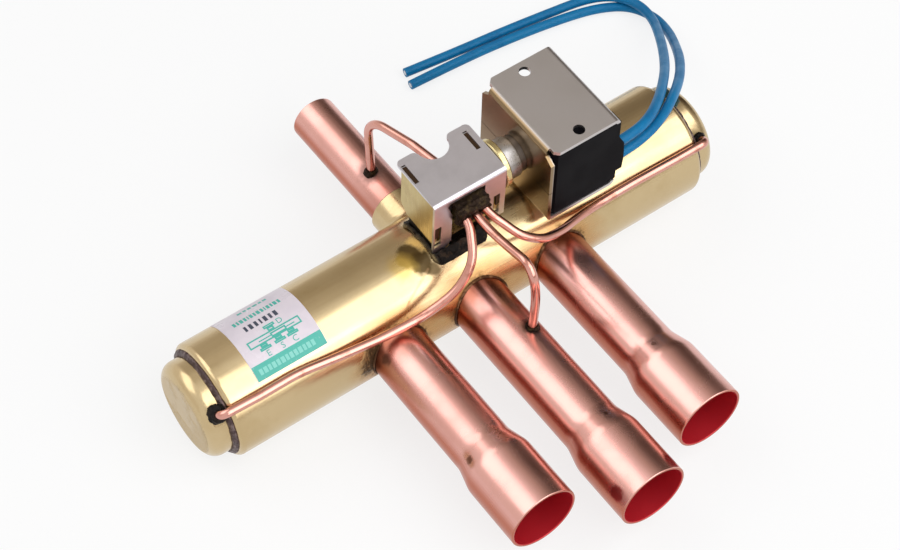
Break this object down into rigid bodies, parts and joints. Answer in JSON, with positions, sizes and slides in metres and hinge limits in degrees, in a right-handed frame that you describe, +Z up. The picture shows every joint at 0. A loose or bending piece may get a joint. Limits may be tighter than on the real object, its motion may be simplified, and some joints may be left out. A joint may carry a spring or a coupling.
{
  "type": "four-way reversing valve",
  "caption": "Four-way reversing valve: brass cylinder with three copper sockets in a row, a stub opposite, a pilot valve with capillary tubes, and a boxed coil with two leads.",
  "frame": {"origin": "under the middle of the part's extents without its leads, on the surface that the body lies on; the body's axis is 17.45 mm above it", "axes": "+X along the body, towards the coil; +Y towards the discharge stub, with the three socketed tubes facing -Y; +Z up, towards the pilot valve"},
  "size_m": [0.2059, 0.1747, 0.0653],
  "materials": {
    "brass": "polished",
    "copper": "polished copper with heat colours",
    "braze": "dark oxide",
    "cover_steel": "polished",
    "saddle_steel": "dark oxide",
    "frame_steel": "polished",
    "core_steel": "satin",
    "carrier_steel": "satin",
    "screw_steel": "satin",
    "spring_steel": "bright",
    "slide_plastic": "smooth",
    "seal_plastic": "smooth",
    "bobbin_plastic": "smooth",
    "winding_copper": "lacquered",
    "moulding_black": "satin black",
    "lead_blue": "smooth blue",
    "label_paper": "printed film"
  },
  "bodies": {
    "valve": {"capillary_braze_discharge": "braze", "capillary_braze_left": "braze", "capillary_braze_right": "braze", "capillary_braze_suction": "braze", "capillary_condenser_side": "copper", "capillary_discharge": "copper", "capillary_evaporator_side": "copper", "capillary_suction": "copper", "coil_bobbin": "bobbin_plastic", "coil_frame_lower": "frame_steel", "coil_frame_upper": "frame_steel", "coil_moulding": "moulding_black", "coil_screw": "screw_steel", "coil_washer": "screw_steel", "coil_winding": "winding_copper", "condenser_braze": "braze", "condenser_tube": "copper", "discharge_braze": "braze", "discharge_tube": "copper", "end_cap_braze_left": "braze", "end_cap_braze_right": "braze", "end_cap_left": "brass", "end_cap_right": "brass", "evaporator_braze": "braze", "evaporator_tube": "copper", "fixed_core": "core_steel", "label": "label_paper", "lead_wire_lower": "lead_blue", "lead_wire_upper": "lead_blue", "main_body": "brass", "pilot_bracket": "brass", "pilot_braze": "braze", "pilot_cover": "cover_steel", "pilot_disc": "brass", "pilot_end_plug": "core_steel", "pilot_saddle": "saddle_steel", "pilot_seat": "brass", "pilot_sleeve": "core_steel", "pilot_spring": "spring_steel", "saddle_braze": "braze", "sleeve_collar": "core_steel", "suction_braze": "braze", "suction_tube": "copper", "valve_seat": "brass"},
    "main_shuttle": {"main_slide": "slide_plastic", "slide_carrier": "carrier_steel", "piston_left": "carrier_steel", "piston_right": "carrier_steel", "piston_seal_left": "seal_plastic", "piston_seal_right": "seal_plastic", "piston_plate_left": "carrier_steel", "piston_plate_right": "carrier_steel", "piston_screw_left": "screw_steel", "piston_screw_right": "screw_steel"},
    "pilot_plunger": {"plunger": "core_steel", "pilot_slide": "slide_plastic", "pilot_slide_spring": "spring_steel"}
  },
  "joints": [
    {"name": "main_slide_travel", "type": "slide", "parent": "valve", "child": "main_shuttle", "axis": [1, 0, 0], "range_m": [0, 0.0277]},
    {"name": "plunger_travel", "type": "slide", "parent": "valve", "child": "pilot_plunger", "axis": [1, 0, 0], "range_m": [0, 0.0032], "stiffness_N_per_m": 400, "springref_m": -0.002, "deforming": ["pilot_spring"]}
  ]
}
